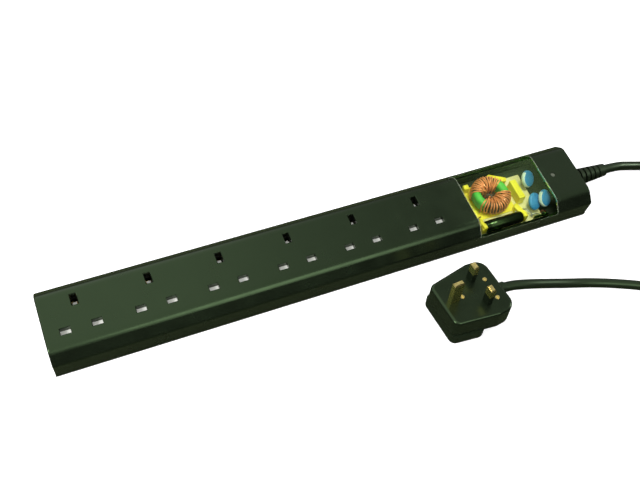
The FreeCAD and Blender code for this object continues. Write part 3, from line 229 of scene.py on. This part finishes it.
BOARD = laminate()
GREEN_COAT = simple("ferrite_coating", "#58C452", 0.38, "#3C9C3C", height=0.00006)
YELLOW = simple("yellow_nylon", "#F6E53E", 0.42, "#EAD22E")
# painted shade: the dark brown seen between the choke's turns and in its hole
PAINTED_WINDING_SHADE = simple("painted_winding_shade", "#3A2012", 0.5)
BLUE_EPOXY = simple("blue_epoxy", "#3F95DE", 0.32, "#3384CE", grain=500.0, height=0.00006)
# painted highlight: the pale colour of a disc rim's side that faces the camera, as if lit
PAINTED_RIM_HIGHLIGHT = simple("painted_rim_highlight", "#DDE8E4", 0.35)
COPPER = simple("enamelled_copper", "#FFA06C", 0.30, "#E07C48", Metallic=0.2, Coat_Weight=0.4)
CERAMIC = simple("fuse_ceramic", "#DDD6C4", 0.45, "#C8C0AC")
BROWN = simple("brown_insulation", "#5A3018", 0.4)
BLUE_WIRE = simple("blue_insulation", "#2450A0", 0.4)
GREEN_WIRE = simple("earth_insulation", "#5C9C24", 0.4, "#D8C828")
LAMP = simple("lamp_lens", "#565C4E", 0.18, Transmission_Weight=0.3)


def metal(name, colour, low, high, scratch=(1, 1, 12)):
    """Bare metal with drawn lines."""
    made = Material(name, colour, low, Metallic=1.0)
    made.vary_roughness(400.0, low, high, stretch=scratch)
    made.bump(1500.0, 0.00001, 0.3, stretch=scratch)
    return made.made


BRASS = metal("stamped_brass", "#EBD88C", 0.16, 0.30)
STEEL = metal("zinc_steel", "#B9BABC", 0.25, 0.38)

FINISH = {
    "black_gloss": GLOSS_BLACK,
    "black_satin": SATIN_BLACK,
    "clear": CLEAR,
    "black_pvc": CABLE_PVC,
    "steel": STEEL,
    "white_plastic": WHITE,
    "frame_plastic": FRAME_BLACK,
    "brass": BRASS,
    "board": BOARD,
    "green_coat": GREEN_COAT,
    "copper": COPPER,
    "yellow_plastic": YELLOW,
    "black_sleeve": SLEEVE,
    "blue_epoxy": BLUE_EPOXY,
    "lamp": LAMP,
    "ceramic": CERAMIC,
    "brown_wire": BROWN,
    "blue_wire": BLUE_WIRE,
    "green_wire": GREEN_WIRE,
}


def smooth(thing, degrees=32.0):
    """Smooth shading up to an angle between faces."""
    for face in thing.data.polygons:
        face.use_smooth = True
    with bpy.context.temp_override(object=thing, active_object=thing, selected_objects=[thing],
                                   selected_editable_objects=[thing]):
        bpy.ops.object.shade_smooth_by_angle(angle=math.radians(degrees))
    return thing


def dress():
    """Every CAD node's material, from the record's slots."""
    slots = {entry["node"]: entry["material_slot"] for entry in frame["record"]["subparts"]}
    for name, thing in NODES.items():
        thing.data.materials.clear()
        thing.data.materials.append(FINISH[slots[name]])
        smooth(thing)


dress()

# ---------------------------------------------------------------- making pieces


def piece(name, verts, faces, material, body=STRIP, shade=True):
    """A mesh in metres that rides on a body."""
    mesh = bpy.data.meshes.new(name)
    mesh.from_pydata([tuple(v) for v in verts], [], [tuple(f) for f in faces])
    mesh.update()
    thing = bpy.data.objects.new(name, mesh)
    bpy.context.scene.collection.objects.link(thing)
    thing.data.materials.append(material)
    if shade:
        for face in mesh.polygons:
            face.use_smooth = True
    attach(thing, body)
    return thing


# ---------------------------------------------------------------- the surge filter

BOARD_TOP = 12.6
CHOKE = (140.5, 4.0)
CORE_LOW = 14.7
CORE_HIGH = 24.7
CORE_IN = 8.4
CORE_OUT = 15.4
WINDING_MIDDLES = (("back", 99.0), ("front", 279.0))  # where each winding is centred, in degrees
WINDING_HALF = 64.0  # degrees from its middle to its last turn
# how far either side of a winding's middle the core is painted dark as shade
SHADE_HALF = 62.0
TURNS = 15
TURN_DEPTHS = (0.7, 4.4, 1.7, 3.0)  # how far inside the core four turns in a row lie
WIRE_RADIUS = 0.6
CRADLE_TOP = 13.4
DRUM_Y = -21.0
DRUM_Z = 17.4


def wires(name, runs, radius, material, cyclic=False):
    """Round wires through points in millimetres, as one object."""
    data = bpy.data.curves.new(name, "CURVE")
    data.dimensions = "3D"
    data.bevel_depth = radius * M
    data.bevel_resolution = 2
    data.use_fill_caps = True
    for run in runs:
        spline = data.splines.new("POLY")
        spline.points.add(len(run) - 1)
        for point, place in zip(spline.points, run):
            point.co = [v * M for v in place] + [1.0]
        spline.use_cyclic_u = cyclic
    thing = bpy.data.objects.new(name, data)
    bpy.context.scene.collection.objects.link(thing)
    data.materials.append(material)
    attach(thing, STRIP)
    return thing


def rounded_loop(low, high, near, far, radius, steps=5):
    """Corners of a rounded rectangle as (across, up) pairs."""
    points = []
    for centre, start in (((far - radius, high - radius), 0), ((near + radius, high - radius), 90),
                          ((near + radius, low + radius), 180), ((far - radius, low + radius), 270)):
        for i in range(steps + 1):
            angle = math.radians(start + 90 * i / steps)
            points.append((centre[0] + radius * math.cos(angle), centre[1] + radius * math.sin(angle)))
    return points


def turned(name, centre, profile, material, count=64):
    """A closed profile turned about an upright axis."""
    verts, faces = [], []
    size = len(profile)
    for i in range(count):
        angle = 2 * math.pi * i / count
        for across, up in profile:
            x, y = centre[0] + across * math.cos(angle), centre[1] + across * math.sin(angle)
            verts.append((x * M, y * M, up * M))
    for i in range(count):
        for j in range(size):
            a, b = i * size + j, i * size + (j + 1) % size
            c, d = ((i + 1) % count) * size + (j + 1) % size, ((i + 1) % count) * size + j
            faces.append((a, b, c, d))
    return piece(name, verts, faces, material)


def skin(rings, count):
    """Four-sided faces between rings of points that follow one another."""
    faces = []
    for k in range(rings - 1):
        for i in range(count):
            a, b = k * count + i, k * count + (i + 1) % count
            faces.append((a, b, b + count, a + count))
    return faces


def make_choke():
    """A rounded ferrite ring, coloured dark brown where it is wound as painted shade between the turns,
    with a dark brown pad in its hole as painted shade, and two windings of separate turns.

    The turns have less room in the hole than outside it, so there they lie in four layers.
    """
    section = rounded_loop(CORE_LOW, CORE_HIGH, CORE_IN, CORE_OUT, 3.0)
    ring = turned("choke_ring", CHOKE, section, GREEN_COAT)
    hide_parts("choke_core")
    # painted shade: the core under each winding is dark brown, as the gaps between turns look in shade
    ring.data.materials.append(PAINTED_WINDING_SHADE)
    for face in ring.data.polygons:
        at = math.degrees(math.atan2(face.center.y - CHOKE[1] * M, face.center.x - CHOKE[0] * M)) % 180.0
        if abs(at - WINDING_MIDDLES[0][1]) < SHADE_HALF:
            face.material_index = 1
    # painted shade: a dark brown pad that fills the ring's hole, where there is only shade
    pad = [(0.3, CRADLE_TOP), (7.2, CRADLE_TOP), (7.2, 16.6), (0.3, 16.6)]
    turned("choke_hole_shade", CHOKE, pad, PAINTED_WINDING_SHADE)
    lift = WIRE_RADIUS + 0.02
    for side, middle in WINDING_MIDDLES:
        runs = []
        for i in range(TURNS):
            at = middle - WINDING_HALF + 2 * WINDING_HALF * i / (TURNS - 1)
            inside = CORE_IN - TURN_DEPTHS[i % len(TURN_DEPTHS)]
            loop = rounded_loop(CORE_LOW - lift, CORE_HIGH + lift, inside, CORE_OUT + 0.7, 3.4, 3)
            run = []
            for j, (across, up) in enumerate(loop):
                angle = math.radians(at + 3.2 * (j / len(loop) - 0.5) + 0.8 * math.sin(i * 2.4))
                run.append((CHOKE[0] + across * math.cos(angle), CHOKE[1] + across * math.sin(angle), up))
            runs.append(run)
        ends = []
        for way in (-1, 1):
            angle = math.radians(middle + way * WINDING_HALF)
            foot = (CHOKE[0] + 15.6 * math.cos(angle), CHOKE[1] + 15.6 * math.sin(angle))
            ends.append([(*foot, 18.0), (*foot, BOARD_TOP - 0.4)])
        thing = wires(f"winding_{side}", runs, WIRE_RADIUS, COPPER, cyclic=True)
        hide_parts(f"choke_winding_{side}")
        wires(f"winding_{side}_ends", ends, 0.5, COPPER)


def block(name, corners, low, high, material, slot, soften=0.5):
    """An upright prism from a plan outline, with softened edges."""
    count = len(corners)
    verts = [(x * M, y * M, z * M) for z in (low, high) for x, y in corners]
    faces = [tuple(reversed(range(count))), tuple(range(count, 2 * count))]
    faces += [(i, (i + 1) % count, count + (i + 1) % count, count + i) for i in range(count)]
    thing = piece(name, verts, faces, material, shade=False)
    edge = thing.modifiers.new("softened", "BEVEL")
    edge.width = soften * M
    edge.segments = 3
    edge.limit_method = "ANGLE"
    return thing


def around(x, y, long, wide, turn=0.0):
    """Plan corners of a rectangle about a centre, turned in degrees."""
    angle = math.radians(turn)
    ahead, side = (math.cos(angle), math.sin(angle)), (-math.sin(angle), math.cos(angle))
    return [(x + u * long / 2 * ahead[0] + v * wide / 2 * side[0],
             y + u * long / 2 * ahead[1] + v * wide / 2 * side[1])
            for u, v in ((-1, -1), (1, -1), (1, 1), (-1, 1))]


def make_cradle():
    """The yellow carrier of the choke: a floor, pointed corner arms and clips at the drum."""
    yellow = (YELLOW, "yellow_plastic")
    floor = block("cradle_floor", around(*CHOKE, 35.6, 31.6), BOARD_TOP, CRADLE_TOP, *yellow)
    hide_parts("choke_cradle")
    arms = [
        (around(125.3, 17.4, 4.6, 4.4), 19.6),
        ([(145.8, 21.6), (148.2, 22.6), (160.8, 15.4), (159.6, 12.2), (156.6, 12.4)], 20.4),
        ([(156.4, -8.8), (158.6, -10.6), (161.2, -20.6), (157.2, -21.0), (154.0, -12.6)], 19.4),
        ([(119.6, -24.0), (123.2, -24.0), (124.6, -13.0), (122.0, -12.0)], 19.0),
    ]
    for number, (outline, top) in enumerate(arms):
        block(f"cradle_arm_{number + 1}", outline, BOARD_TOP, top, *yellow)
    for number, (x, y) in enumerate(((122.4, -21.6), (158.9, -21.6))):
        block(f"cradle_clip_{number + 1}", around(x, y, 3.6, 4.4), BOARD_TOP, 20.6, *yellow)


def make_capacitors():
    """The potted box capacitor and the sleeved drum with its dished ends."""
    centre, low = (163.8, 1.6), BOARD_TOP + 0.4
    box = block("box_capacitor", around(*centre, 5.6, 18.0), low, 22.0, YELLOW, "yellow_plastic", 0.35)
    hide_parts("film_capacitor")
    block("box_capacitor_potting", around(*centre, 4.6, 17.0), BOARD_TOP, low + 0.2, CERAMIC,
          "yellow_plastic", 0.1)
    rings = [(124.0, 3.4), (124.4, 4.2), (125.2, 4.6), (126.2, 4.6), (126.8, 4.25), (127.6, 4.6),
             (155.0, 4.6), (156.1, 4.3), (156.5, 3.6)]  # radius along the drum, with a groove near one end
    count = 32
    verts = []
    for x, radius in rings:
        for i in range(count):
            angle = 2 * math.pi * i / count
            y, z = DRUM_Y + radius * math.cos(angle), DRUM_Z + radius * math.sin(angle)
            verts.append((x * M, y * M, z * M))
    faces = skin(len(rings), count)
    faces.append(tuple(range(count)))
    faces.append(tuple(reversed(range((len(rings) - 1) * count, len(rings) * count))))
    drum = piece("drum", verts, faces, SLEEVE)
    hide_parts("sleeved_capacitor")
    legs = [[(x, -19.6, 17.0), (x, -19.6, 12.4)] for x in (128.0, 152.5)]
    wires("drum_leads", legs, 0.4, STEEL)


def make_varistor(number, centre, pale):
    """A dipped disc with a rounded rim, leaning towards the cable end and the front, on two wires. Where
    pale is set, the rim's side towards the camera is coloured pale as a painted highlight.
    """
    lean = Matrix.Rotation(math.radians(40.0), 4, "X") @ Matrix.Rotation(math.radians(24.0), 4, "Y")
    profile = [(0.0, 0.0), (4.6, 0.0), (6.2, 0.35), (6.9, 1.2), (7.0, 2.0), (6.9, 2.8), (6.2, 3.65),
               (4.6, 4.0), (0.0, 4.1)]
    count = 40
    verts = []
    for across, up in profile:
        for i in range(count):
            angle = 2 * math.pi * i / count
            reach = across * (1.0 + 0.012 * math.sin(3 * angle + number))
            spot = lean @ Vector((reach * math.cos(angle), reach * math.sin(angle), up))
            verts.append((Vector(centre) + spot) * M)
    disc = piece(f"disc_{number}", verts, skin(len(profile), count), BLUE_EPOXY)
    # painted highlight: faces on the rim's side towards the camera take the pale colour
    if pale:
        disc.data.materials.append(PAINTED_RIM_HIGHLIGHT)
        for index, face in enumerate(disc.data.polygons):
            band, around_at = divmod(index, count)
            if 2 <= band <= 5 and 13 <= around_at <= 28:
                face.material_index = 1
    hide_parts(f"varistor_{number}")
    legs = [[(centre[0] + side, centre[1], centre[2] + 1.0), (centre[0] + side, centre[1], 12.3)]
            for side in (-2.0, 3.6)]
    wires(f"disc_{number}_leads", legs, 0.35, STEEL)


def make_small_parts():
    """The tinned links and brown wires that join the filter's components."""
    runs = [[(150.5, -17.0, 14.0), (155.0, -15.2, 16.5), (161.0, -17.8, 16.2), (163.4, -21.0, 13.0)],
            [(161.8, -12.4, 13.0), (164.0, -15.4, 16.4), (166.8, -19.6, 15.6), (167.4, -22.4, 12.9)],
            [(166.0, -20.4, 13.0), (170.2, -21.0, 15.6), (174.6, -21.6, 13.0)]]
    wires("filter_jumpers", runs, 0.55, STEEL)
    runs = [[(118.4, -20.6, 13.0), (118.8, -17.0, 17.4), (121.6, -12.4, 18.0), (126.0, -9.6, 14.4)],
            [(176.0, -20.6, 13.0), (177.6, -20.0, 14.8), (180.4, -20.8, 13.0)]]
    wires("filter_links", runs, 0.6, BROWN)


make_choke()
make_cradle()
make_capacitors()
make_varistor(1, (176.6, 9.5, 19.2), True)
make_varistor(2, (172.0, -11.4, 18.0), False)
make_varistor(3, (180.5, -12.0, 19.6), True)
make_small_parts()

# ---------------------------------------------------------------- the window's edges, with painted highlight


def make_window_edges():
    """Pale, half-clear tubes along the clear cover's edges: a painted highlight where the polished edges
    catch the light.
    """
    ends, sill = (114.3, 184.3), 19.8
    shoulder, flat_half, top = 8.0, 18.41, 31.0  # the casing's rounded shoulder and flat top
    roll = [math.radians(a) for a in range(0, 49, 8)]
    half = [(flat_half + shoulder * math.sin(a), top - shoulder + shoulder * math.cos(a)) for a in roll]
    half += [(29.39, 22.72), (29.95, 21.8), (30.17, 21.0), (30.13, 20.35), (30.03, 19.7)]
    section = [(-y, z) for y, z in reversed(half)] + half
    runs = []
    for x in ends:
        runs.append([(x, y, z) for y, z in section])
    for side in (1, -1):
        runs.append([(x, side * 30.0, sill) for x in ends])
    wires("window_edge_highlights", runs, 0.16, PAINTED_EDGE_HIGHLIGHT)


make_window_edges()

# ---------------------------------------------------------------- the cable

LEAD = [
    (248.4, 0.0, 14.5),
    (262.0, 0.1, 13.9),
    (276.0, -0.2, 8.8),
    (290.0, -1.4, 4.6),
    (306.0, -5.0, 3.9),
    (324.0, -12.0, 3.85),
    (341.0, -23.5, 3.9),
    (354.0, -39.5, 3.85),
    (363.5, -60.0, 3.9),
]
TAIL = [
    (298.0, -137.9, 10.3),
    (281.0, -136.0, 6.6),
    (264.0, -126.6, 4.2),
    (246.0, -115.0, 3.85),
    (228.0, -104.4, 3.9),
    (207.5, -95.2, 3.85),
    (187.0, -87.4, 3.95),
    (168.4, -83.1, 6.2),
    (148.5, -80.1, 12.35),
    (129.8, -77.6, 18.1),
    (112.9, -74.63, 19.91),
    (100.45, -75.71, 20.02),
]
CABLE_RADIUS = 3.8
COIL_CENTRE = (315.5, -84.5)
COIL_END = 1890  # degrees wound from first to last point
COIL_STEP = 22.5
# Radius and height of the middle of the cable after so many degrees.
COIL_WIDTHS = [(0, 53.2), (265, 53.2), (320, 45.6), (625, 45.6), (680, 38.0), (1235, 38.0),
               (1290, 45.6), (1595, 45.6), (1650, 53.2), (COIL_END, 53.2)]
COIL_LEVELS = [(0, 3.85), (930, 3.85), (985, 11.5), (COIL_END, 11.5)]


def stepped(knots, at):
    """Straight-line interpolation between knots."""
    for (a, low), (b, high) in zip(knots, knots[1:]):
        if a <= at <= b:
            return low + (high - low) * (at - a) / (b - a)
    return knots[-1][1]


def coil_points():
    """Control points of the wound spare cable: in along the floor, then out on top.

    The curve runs inside its control points, so they stand out from it by the factor spread.
    """
    spread = 0.75 + 0.25 * math.cos(math.radians(COIL_STEP))
    points = []
    for i in range(int(COIL_END / COIL_STEP) + 1):
        wound = i * COIL_STEP
        radius = stepped(COIL_WIDTHS, wound) / spread
        angle = math.radians(-wound)
        x, y = COIL_CENTRE[0] + radius * math.cos(angle), COIL_CENTRE[1] + radius * math.sin(angle)
        points.append((x, y, stepped(COIL_LEVELS, wound)))
    return points


def make_cable():
    """The free cable: one curve from the gland to the plug."""
    data = bpy.data.curves.new("cable", "CURVE")
    data.dimensions = "3D"
    data.bevel_depth = CABLE_RADIUS * M
    data.bevel_resolution = 6
    data.use_fill_caps = True
    spline = data.splines.new("NURBS")
    route = LEAD + coil_points() + TAIL
    spline.points.add(len(route) - 1)
    for point, place in zip(spline.points, route):
        point.co = [v * M for v in place] + [1.0]
    spline.order_u = 3
    spline.use_endpoint_u = True
    spline.resolution_u = 6
    thing = bpy.data.objects.new("cable", data)
    bpy.context.scene.collection.objects.link(thing)
    data.materials.append(CABLE_PVC)
    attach(thing, STRIP)
    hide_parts("cable_lead", "cable_coil", "cable_tail")


make_cable()

# ---------------------------------------------------------------- stage and light


def make_stage():
    """A pale floor that runs out of view."""
    mesh = bpy.data.meshes.new("floor")
    half = 6.0
    corners = [(-half, -half, 0), (half, -half, 0), (half, half, 0), (-half, half, 0)]
    mesh.from_pydata(corners, [], [(0, 1, 2, 3)])
    floor = bpy.data.objects.new("floor", mesh)
    floor.location.z = -0.0002
    bpy.context.scene.collection.objects.link(floor)
    made = Material("pale_floor", "#FFFFFF", 0.9)
    made.set("Specular IOR Level", 0.0)
    made.set("Emission Color", linear("#FFFFFF"))
    made.set("Emission Strength", 0.35)
    path = made.add("ShaderNodeLightPath")
    grey = made.add("ShaderNodeBsdfDiffuse", Color=(0.055, 0.07, 0.035, 1.0))
    mix = made.add("ShaderNodeMixShader", [(1, made.shader), (2, grey)])
    made.join(path, "Is Glossy Ray", mix, 0)
    made.tree.links.new(mix.outputs[0], made.tree.nodes["Material Output"].inputs["Surface"])
    floor.data.materials.append(made.made)


def ramp_stops(tree, source, output, stops):
    """A grey ramp over a value, from (position, level) stops."""
    ramp = tree.nodes.new("ShaderNodeValToRGB")
    elements = ramp.color_ramp.elements
    while len(elements) < len(stops):
        elements.new(0.5)
    for element, (position, level) in zip(elements, stops):
        element.position = position
        element.color = (level, level, level, 1)
    tree.links.new(source.outputs[output], ramp.inputs[0])
    return ramp


def make_world():
    """A soft studio: bright overhead and behind, with a dark gap to the right, and darker low in front."""
    world = bpy.data.worlds.new("studio")
    bpy.context.scene.world = world
    world.use_nodes = True
    tree = world.node_tree
    background = tree.nodes["Background"]
    place = tree.nodes.new("ShaderNodeTexCoord")
    apart = tree.nodes.new("ShaderNodeSeparateXYZ")
    tree.links.new(place.outputs["Generated"], apart.inputs[0])
    rear = tree.nodes.new("ShaderNodeMath")
    rear.operation = "MULTIPLY_ADD"
    rear.inputs[1].default_value = 0.35
    tree.links.new(apart.outputs["Y"], rear.inputs[0])
    tree.links.new(apart.outputs["Z"], rear.inputs[2])
    upright = ramp_stops(tree, rear, 0, [(0.14, 0.05), (0.7, 1.0)])
    across = ramp_stops(tree, apart, "X", [(0.02, 1.0), (0.15, 0.95), (0.24, 0.55), (0.33, 0.48),
                                           (0.41, 0.10), (0.47, 0.3), (0.54, 0.45), (0.9, 0.5)])
    both = tree.nodes.new("ShaderNodeMix")
    both.data_type = "RGBA"
    both.blend_type = "MULTIPLY"
    both.inputs[0].default_value = 1.0
    tree.links.new(upright.outputs[0], both.inputs[6])
    tree.links.new(across.outputs[0], both.inputs[7])
    tree.links.new(both.outputs[2], background.inputs["Color"])
    background.inputs["Strength"].default_value = 1.5


def make_light(name, place, aim, size, power):
    """A square soft light."""
    data = bpy.data.lights.new(name, "AREA")
    data.shape = "SQUARE"
    data.size = size
    data.energy = power
    light = bpy.data.objects.new(name, data)
    light.location = place
    light.rotation_euler = (Vector(aim) - Vector(place)).to_track_quat("-Z", "Y").to_euler()
    bpy.context.scene.collection.objects.link(light)
    return light


def make_window_light():
    """A narrow lamp straight above the window, which lights the filter and nothing beside it."""
    data = bpy.data.lights.new("over_window", "SPOT")
    data.spot_size = math.radians(27.0)
    data.spot_blend = 0.6
    data.shadow_soft_size = 0.02
    data.energy = 2.0
    light = bpy.data.objects.new("over_window", data)
    light.location = (0.149, 0.0, 0.22)
    bpy.context.scene.collection.objects.link(light)


make_stage()
make_world()
make_light("front", (0.35, -1.2, 1.3), (0.05, 0.0, 0.0), 0.9, 9.0)
make_light("left", (-1.35, -0.2, 0.95), (0.12, 0.0, 0.0), 0.5, 26.0)
make_light("right", (1.8, -0.2, 0.65), (0.15, 0.0, 0.0), 0.4, 12.0)
make_window_light()
bpy.context.scene.view_settings.view_transform = "Standard"
